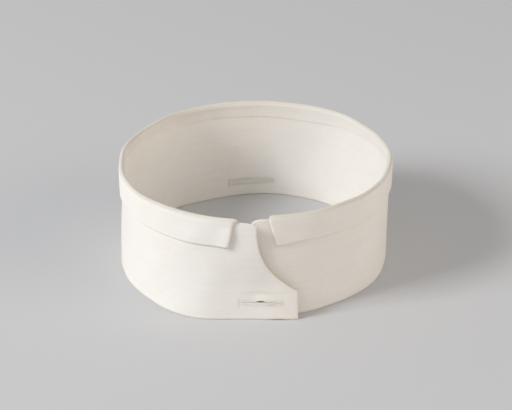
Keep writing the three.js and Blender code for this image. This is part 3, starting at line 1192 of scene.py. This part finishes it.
@dataclass(frozen=True)
class LinenFinish:
    """Starched plain-weave linen, warm white, with threads that show up close.

    The scales of its noises are per metre, and its stretches draw one of them out along the threads.
    """

    name: str
    colour: tuple = (0.88, 0.846, 0.795)
    aged: tuple = (0.835, 0.785, 0.70)
    edge_colour: tuple = (0.865, 0.80, 0.71)
    # Dark tone of the painted shade on the fold's crest.
    crest_shade_colour: tuple = (0.66, 0.61, 0.525)
    aged_from: tuple = (0.42, 0.78)
    aged_share: tuple = (0.0, 0.5)
    edge_from: tuple = (0.0018, 0.0005)
    edge_share: tuple = (0.0, 0.6)
    middle_from: tuple = (0.3, 0.7)
    # Strength of the crest's painted shade, from least to most, as the patches vary.
    crest_shade_share: tuple = (0.65, 1.0)
    slub_from: tuple = (0.6, 1.4)
    slub_tone: tuple = (0.975, 1.02)
    streak_tone: tuple = (0.985, 1.01)
    grain_tone: tuple = (0.98, 1.02)
    roughness: tuple = (0.74, 0.92)
    thread_pitch: float = 0.00038
    thread_share: float = 0.5
    slub_scale: float = 190.0
    slub_stretch: float = 12.0
    slub_height: float = 1.6
    streak_scale: float = 24.0
    streak_stretch: float = 22.0
    patch_scale: float = 38.0
    grain_scale: float = 900.0
    weave_depth: float = 0.000018
    weave_strength: float = 0.6
    streak_depth: float = 0.000035
    streak_strength: float = 0.5
    specular: float = 0.32
    sheen: float = 0.12
    sheen_roughness: float = 0.5

    def build(self) -> bpy.types.Material:
        """Make the material.

        Returns:
            The material.
        """
        material, nodes, shader = new_material(self.name)
        cloth = nodes.add("ShaderNodeUVMap", uv_map="flat_cloth").outputs["UV"]
        where = nodes.add("ShaderNodeTexCoord").outputs["Object"]
        patches = nodes.noise(where, self.patch_scale, 3.0)
        slubs = nodes.math(
            "ADD",
            self.drawn_out(nodes, cloth, self.slub_scale, (1.0, self.slub_stretch, 1.0)),
            self.drawn_out(nodes, cloth, self.slub_scale, (self.slub_stretch, 1.0, 1.0)),
        )
        streaks = self.drawn_out(nodes, cloth, self.streak_scale, (1.0, self.streak_stretch, 1.0))
        tones = (
            nodes.ranged(slubs, self.slub_tone, self.slub_from),
            nodes.ranged(nodes.noise(where, self.grain_scale), self.grain_tone),
            nodes.ranged(streaks, self.streak_tone, self.middle_from),
        )
        shade = nodes.math("MULTIPLY", nodes.math("MULTIPLY", tones[0], tones[1]), tones[2])
        toned = {0: self.wear_and_shade(nodes, patches), "Scale": shade}
        depths = {"Strength": self.streak_strength, "Distance": self.streak_depth, "Height": streaks}
        pressed = nodes.add("ShaderNodeBump", depths).outputs["Normal"]
        relief = nodes.math("ADD", self.weave(nodes, cloth), nodes.math("MULTIPLY", slubs, self.slub_height))
        depths = {"Strength": self.weave_strength, "Distance": self.weave_depth, "Height": relief}
        looks = {
            "Base Color": nodes.add("ShaderNodeVectorMath", toned, operation="SCALE").outputs["Vector"],
            "Roughness": nodes.ranged(patches, self.roughness),
            "Normal": nodes.add("ShaderNodeBump", depths | {"Normal": pressed}).outputs["Normal"],
            "Specular IOR Level": self.specular,
            "Sheen Weight": self.sheen,
            "Sheen Roughness": self.sheen_roughness,
        }
        nodes.fill(shader, looks)
        return material

    def drawn_out(self, nodes: Nodes, cloth: Socket, scale: float, stretch: tuple) -> Socket:
        """Noise on the flat cloth, squeezed along some of its axes."""
        run = nodes.add("ShaderNodeMapping", {"Vector": cloth, "Scale": stretch})
        return nodes.noise(run.outputs["Vector"], scale)

    def weave(self, nodes: Nodes, cloth: Socket) -> Socket:
        """Height of the plain weave's threads.

        Args:
            nodes: The material's nodes.
            cloth: Places on the flat cloth.

        Returns:
            The socket that gives the height.
        """
        split = nodes.add("ShaderNodeSeparateXYZ", {"Vector": cloth}).outputs
        turn = math.pi / self.thread_pitch
        warp = nodes.math("SINE", nodes.math("MULTIPLY", split["X"], turn))
        weft = nodes.math("SINE", nodes.math("MULTIPLY", split["Y"], turn))
        warp_height = nodes.math("MULTIPLY", nodes.math("ABSOLUTE", warp), self.thread_share)
        weft_height = nodes.math("MULTIPLY", nodes.math("ABSOLUTE", weft), self.thread_share)
        over = nodes.math("MULTIPLY", nodes.math("MULTIPLY", warp, weft), self.thread_share)
        return nodes.math("ADD", nodes.math("ADD", warp_height, weft_height), over)

    def wear_and_shade(self, nodes: Nodes, patches: Socket) -> Socket:
        """Colour with the tones of age and of the cloth's edges, and painted shade on the fold's crest.

        Args:
            nodes: The material's nodes.
            patches: Noise of the patches that have aged, which also makes the painted shade on the crest uneven.

        Returns:
            The socket that gives the colour.
        """
        edge = nodes.add("ShaderNodeAttribute", attribute_name="edge_distance").outputs["Fac"]
        crest = nodes.add("ShaderNodeAttribute", attribute_name="crest_shade").outputs["Fac"]
        # Painted shade on the crest, uneven by patches.
        crest_shaded = nodes.math("MULTIPLY", crest, nodes.ranged(patches, self.crest_shade_share, self.middle_from))
        colour = nodes.mixed(nodes.ranged(patches, self.aged_share, self.aged_from), self.colour, self.aged)
        border = nodes.ranged(edge, self.edge_share, self.edge_from, "SMOOTHSTEP")
        return nodes.mixed(crest_shaded, nodes.mixed(border, colour, self.edge_colour), self.crest_shade_colour)


@dataclass(frozen=True)
class ThreadFinish:
    """Sewing thread, matt and a little warmer than the cloth."""

    name: str
    colour: tuple = (0.90, 0.865, 0.805)
    dark: tuple = (0.83, 0.79, 0.715)
    strand_scale: float = 2600.0
    strand_depth: float = 0.00004
    strand_strength: float = 0.4
    roughness: tuple = (0.7, 0.9)
    sheen: float = 0.2

    def build(self) -> bpy.types.Material:
        """Make the material.

        Returns:
            The material.
        """
        material, nodes, shader = new_material(self.name)
        strands = nodes.noise(nodes.add("ShaderNodeTexCoord").outputs["Object"], self.strand_scale)
        depths = {"Strength": self.strand_strength, "Distance": self.strand_depth, "Height": strands}
        looks = {
            "Base Color": nodes.mixed(strands, self.dark, self.colour),
            "Roughness": nodes.ranged(strands, self.roughness),
            "Normal": nodes.add("ShaderNodeBump", depths).outputs["Normal"],
            "Sheen Weight": self.sheen,
        }
        nodes.fill(shader, looks)
        return material


@dataclass
class Seams:
    """Rows of lockstitch that hold the plies together and the turned edge's legs down."""

    wall: Wall
    band: StandingBand
    turned: TurnedEdge
    finish: bpy.types.Material
    depth: float = 0.45
    hem_depth: float = 0.04
    row_points: tuple = (600, 560)
    tab_start: float = 0.1
    tab_top: float = 49.5
    leg_margin: float = 1.4
    leg_share: float = 0.8

    def on_both_faces(self, s: np.ndarray, z: np.ndarray) -> list:
        """Rows along one line on both faces of the band."""
        lean = self.band.lean(s, z)
        return [StitchRow(s, z, lean + face.value * self.depth, face) for face in Face]

    def foot_rows(self) -> list:
        """Row above the foot all round, on both faces.

        Returns:
            The rows, each a StitchRow.
        """
        reach = self.wall.front_centre + self.band.lap_length - self.band.edge_seam
        s = np.linspace(-reach, reach, self.row_points[0])
        z = np.full_like(s, self.band.foot_seam) * self.band.slit_line(s) / self.band.slit_row_height
        return self.on_both_faces(s, z + self.band.foot_lift(s, z))

    def tab_rows(self, side: Side) -> list:
        """Row inside a tab's hollow edge and tip, on both faces.

        Args:
            side: Which tab.

        Returns:
            The rows, each a StitchRow.
        """
        outline = self.band.outline()
        outline = outline[outline[:, 1] > self.band.foot_seam - self.tab_start]
        tangent = np.gradient(outline, axis=0)
        tangent /= np.linalg.norm(tangent, axis=1, keepdims=True)
        inside = outline + self.band.edge_seam * np.stack((-tangent[:, 1], tangent[:, 0]), axis=1)
        inside = inside[inside[:, 1] < self.tab_top]
        return self.on_both_faces(side.value * (self.wall.front_centre + inside[:, 0]), inside[:, 1])

    def leg_rows(self) -> list:
        """Row above the lower edge of each of the turned edge's legs.

        Returns:
            The rows, each a StitchRow.
        """
        left = self.wall.front_centre - self.turned.outer_tab_ends[-1][1] - self.leg_margin
        right = self.wall.front_centre - self.turned.inner_tab_ends[-1][1] - self.leg_margin
        s = np.linspace(-left, right, self.row_points[1])
        share = np.full_like(s, self.leg_share)
        outer = self.turned.hem_face - self.hem_depth + self.turned.flare(s, share)
        inner = self.hem_depth - self.turned.inner_face_at(s, share)
        return [
            StitchRow(s, self.turned.leg_end(s, face) + self.turned.seam_rise, n, face)
            for face, n in ((Face.OUTER, outer), (Face.INNER, inner))
        ]

    def build(self) -> list:
        """Lay all the seams.

        Returns:
            The stitch objects.
        """
        plan = {
            "foot_seam": self.foot_rows(),
            "outer_tab_seam": self.tab_rows(Side.OUTER_TAB),
            "inner_tab_seam": self.tab_rows(Side.INNER_TAB),
            "turned_edge_seam": self.leg_rows(),
        }
        return [Stitching(name, self.wall, self.finish).lay(rows, SEAM_THREAD) for name, rows in plan.items()]


@dataclass
class WorkedButtonhole:
    """Thread worked round a slit: close stitches away from the cut, a knotted ridge on its lips and a bar at its end.

    The threads lie further out on the inside, where the neck has pressed the cloth less.
    """

    wall: Wall
    slit: Slit
    band: StandingBand
    finish: bpy.types.Material
    lip: float = 0.14
    end_round: float = 0.12
    run_points: int = 90
    turn_points: int = 12
    outer_depth: float = 0.46
    inner_depth: float = 0.53
    cover_rise: float = 0.03
    ridge_sink: float = 0.05
    bar_gap: float = 1.2
    bar_half: float = 2.0
    bar_points: int = 24
    bar_threads: tuple = (-0.36, -0.12, 0.12, 0.36)

    def loop(self) -> tuple:
        """Path round the cut, and the flat directions away from it.

        Returns:
            Lengths, heights and flat directions, one of each for each of the path's points.
        """
        half = self.slit.length / 2
        run, still = np.linspace(-half, half, self.run_points), np.zeros(self.run_points)
        turn = np.linspace(-math.pi / 2, math.pi / 2, self.turn_points + 2)[1:-1]
        past = self.end_round * np.cos(turn)
        s = self.slit.centre + np.concatenate((run, half + past, run[::-1], -half - past))
        side = np.concatenate((still - 1, np.sin(turn), still + 1, -np.sin(turn)))
        z = self.band.slit_line(s) + side * (self.slit.gap(s) / 2 + self.lip)
        away = np.stack((np.concatenate((still, np.cos(turn), still, -np.cos(turn))), side), axis=1)
        return s, z + self.band.foot_lift(s, z), away

    def build(self) -> list:
        """Work the buttonhole on both faces.

        Returns:
            The thread objects.
        """
        rows = {"cover": [], "ridge": [], "bar": []}
        s, z, away = self.loop()
        ahead = self.band.lean(s + STRIDE * away[:, 0], z + STRIDE * away[:, 1])
        end = self.slit.centre - math.copysign(self.slit.length / 2 + self.bar_gap, self.slit.centre or 1.0)
        rise = np.linspace(-self.bar_half, self.bar_half, self.bar_points)
        for face, depth in ((Face.OUTER, self.outer_depth), (Face.INNER, -self.inner_depth)):
            n = self.band.lean(s, z) + depth
            n_ahead = ahead + depth + face.value * self.cover_rise
            rows["cover"].append(StitchRow(s, z, n, face, True, away, n_ahead))
            rows["ridge"].append(StitchRow(s, z, n - face.value * self.ridge_sink, face, True))
            for offset in self.bar_threads:
                across = np.full_like(rise, end + offset)
                height = self.band.slit_line(across) + rise
                rows["bar"].append(StitchRow(across, height, self.band.lean(across, height) + depth, face))
        return [
            Stitching(f"{self.slit.name}_{part}", self.wall, self.finish).lay(found, BUTTONHOLE_THREADS[part])
            for part, found in rows.items()
        ]


@dataclass
class FrayedThreads:
    """Fine ends of worn thread that stand out of the outer tab's buttonhole."""

    wall: Wall
    slit: Slit
    band: StandingBand
    finish: bpy.types.Material
    radius: float = 0.1
    steps: int = 4
    root: float = 0.2
    stand_out: float = 0.62
    loop_height: float = 0.45
    # Points of each thread: length from the slit's centre, and height above its line.
    ends: tuple = (
        ((-2.0, 0.3), (-3.1, 1.0), (-4.4, 1.35), (-5.2, 0.9), (-4.6, 0.5)),
        ((-2.4, -0.1), (-3.2, -0.35), (-4.3, -0.1), (-5.6, 0.25), (-6.6, 0.0)),
        ((-1.7, -0.35), (-2.4, -0.8), (-3.3, -0.55), (-3.9, -0.1)),
        ((-6.4, 0.2), (-7.2, 0.75), (-8.2, 0.6), (-8.9, 0.1), (-8.3, -0.4)),
        ((0.9, 0.5), (0.2, 1.15), (-0.9, 1.3), (-1.6, 0.9)),
        ((-1.2, 0.1), (-1.9, 0.05), (-2.6, 0.2)),
    )

    def build(self) -> bpy.types.Object:
        """Make the thread ends.

        Returns:
            The thread ends' object.
        """
        data = bpy.data.curves.new("frayed_threads", "CURVE")
        data.dimensions = "3D"
        data.bevel_depth = self.radius * MM
        data.bevel_resolution = 1
        data.use_fill_caps = True
        data.resolution_u = self.steps
        for end in self.ends:
            flat = np.array(end)
            s = self.slit.centre + flat[:, 0]
            z = self.band.slit_line(s) + flat[:, 1]
            out = self.stand_out + self.loop_height * np.sin(np.linspace(0, math.pi, len(flat)))
            out[0] = self.root
            points = self.wall.place(s, z, self.band.lean(s, z) + out)
            spline = data.splines.new("BEZIER")
            spline.bezier_points.add(len(points) - 1)
            for at, point in zip(spline.bezier_points, points):
                at.co = point
                at.handle_left_type = at.handle_right_type = "AUTO"
        maker = show("frayed_thread_maker", data)
        mesh = made_real(maker)
        bpy.data.objects.remove(maker)
        mesh.name = "frayed_threads"
        mesh.materials.clear()
        mesh.materials.append(self.finish)
        mesh.polygons.foreach_set("use_smooth", np.ones(len(mesh.polygons), bool))
        return show("frayed_threads", mesh)


@dataclass
class Studio:
    """Plain pale floor, soft light from the left and the camera of the photograph."""

    floor_size: float = 8.0
    camera_target: tuple = (0.000248, -0.0000785, 0.02712)
    camera_distance: float = 1.2
    camera_elevation: float = 27.59
    focal_pixels: float = 2510.9
    image_width: int = 512
    sensor_width: float = 36.0
    camera_sight: tuple = (0.01, 50.0)
    horizon_light: float = 0.43
    zenith_light: float = 0.47
    room_colour: tuple = (0.99, 0.99, 1.0)
    floor_colour: tuple = (0.585, 0.585, 0.589)
    floor_patches: float = 2.0
    floor_roughness: tuple = (0.86, 0.94)
    floor_specular: float = 0.2
    aim: tuple = (0.0, 0.0, 0.02)
    # Name, place, side, watts and colour.
    lamps: tuple = (
        ("key_light", (-1.818, -0.809, 1.342), 0.8, 41.0, (0.965, 0.98, 1.0)),
        ("fill_light", (1.694, -0.684, 0.813), 1.3, 12.5, (1.0, 0.88, 0.76)),
    )

    def floor(self) -> None:
        """Lay the floor."""
        half = self.floor_size / 2
        mesh = bpy.data.meshes.new("floor")
        mesh.from_pydata([(-half, -half, 0), (half, -half, 0), (half, half, 0), (-half, half, 0)], [], [(0, 1, 2, 3)])
        floor = show("floor", mesh)
        material, nodes, shader = new_material("pale_floor")
        patches = nodes.noise(nodes.add("ShaderNodeTexCoord").outputs["Object"], self.floor_patches)
        looks = {"Base Color": (*self.floor_colour, 1.0), "Specular IOR Level": self.floor_specular}
        nodes.fill(shader, looks | {"Roughness": nodes.ranged(patches, self.floor_roughness)})
        floor.data.materials.append(material)
        floor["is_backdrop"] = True

    def area(self, name: str, place: tuple, size: float, watts: float, colour: tuple) -> None:
        """Hang one soft square light.

        Args:
            name: The light's name.
            place: Where it hangs, in metres.
            size: Length of its side, in metres.
            watts: Its power.
            colour: Its colour.
        """
        light = bpy.data.lights.new(name, "AREA")
        light.shape = "SQUARE"
        light.size = size
        light.energy = watts
        light.color = colour
        lamp = show(name, light)
        lamp.location = place
        lamp.rotation_euler = (Vector(self.aim) - Vector(place)).to_track_quat("-Z", "Y").to_euler()

    def light(self) -> None:
        """Light the scene softly from the left and above."""
        world = bpy.data.worlds.new("soft_room")
        world.use_nodes = True
        nodes = Nodes(world.node_tree)
        way = nodes.add("ShaderNodeTexCoord").outputs["Generated"]
        height = nodes.add("ShaderNodeSeparateXYZ", {"Vector": way}).outputs["Z"]
        strength = nodes.ranged(height, (self.horizon_light, self.zenith_light))
        nodes.fill(world.node_tree.nodes["Background"], {"Color": (*self.room_colour, 1.0), "Strength": strength})
        bpy.context.scene.world = world
        for lamp in self.lamps:
            self.area(*lamp)

    def camera(self) -> None:
        """Set up the camera of the photograph."""
        data = bpy.data.cameras.new("camera")
        data.sensor_fit = "HORIZONTAL"
        data.sensor_width = self.sensor_width
        data.lens = self.focal_pixels * self.sensor_width / self.image_width
        data.clip_start, data.clip_end = self.camera_sight
        camera = show("camera", data)
        turn = math.radians(self.camera_elevation)
        target = Vector(self.camera_target)
        camera.location = target + self.camera_distance * Vector((0.0, -math.cos(turn), math.sin(turn)))
        camera.rotation_euler = (target - camera.location).to_track_quat("-Z", "Y").to_euler()
        bpy.context.scene.camera = camera

    def build(self) -> None:
        """Set the whole studio up."""
        self.floor()
        self.light()
        self.camera()
        bpy.context.scene.view_settings.view_transform = "Standard"


def dress(piece: bpy.types.Object, finish: bpy.types.Material | None = None) -> None:
    """Ride a piece on the body and give it its finish where it has none.

    Args:
        piece: The piece.
        finish: Its material, or nothing where it already has it.
    """
    if finish is not None:
        piece.data.materials.clear()
        piece.data.materials.append(finish)
    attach(piece, "root")
    triangles = sum(len(polygon.vertices) - 2 for polygon in piece.data.polygons)
    LOG.info("%s: %d triangles", piece.name, triangles)


def main() -> None:
    """Build the collar and its studio, and report each piece."""
    logging.basicConfig(level=logging.INFO, format="%(message)s")
    Studio().build()
    wall = Wall()
    band, turned = StandingBand(wall), TurnedEdge(wall)
    thread = ThreadFinish("sewing_thread").build()

    standing = band.build()
    dress(standing, LinenFinish("starched_linen").build())
    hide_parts("collar_band")
    over = turned.build()
    dress(over, LinenFinish("turned_starched_linen", aged=TURNED_AGED).build())
    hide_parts("turned_edge")

    threads = Seams(wall, band, turned, thread).build()
    for slit in band.slits:
        threads += WorkedButtonhole(wall, slit, band, thread).build()
    threads.append(FrayedThreads(wall, band.slits[0], band, thread).build())
    for piece in threads:
        dress(piece)

    on_band = [piece for piece in threads if not piece.name.startswith("turned")]
    on_turned = [piece for piece in threads if piece.name.startswith("turned")]
    (size, area) = band.flat_size()
    (size, area) = turned.flat_size()

    boxes = {"cad": CAD_BOX, "visual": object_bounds()}
    {name: [list(map(float, corner)) for corner in box] for name, box in boxes.items()}


if __name__ == "__main__":
    main()
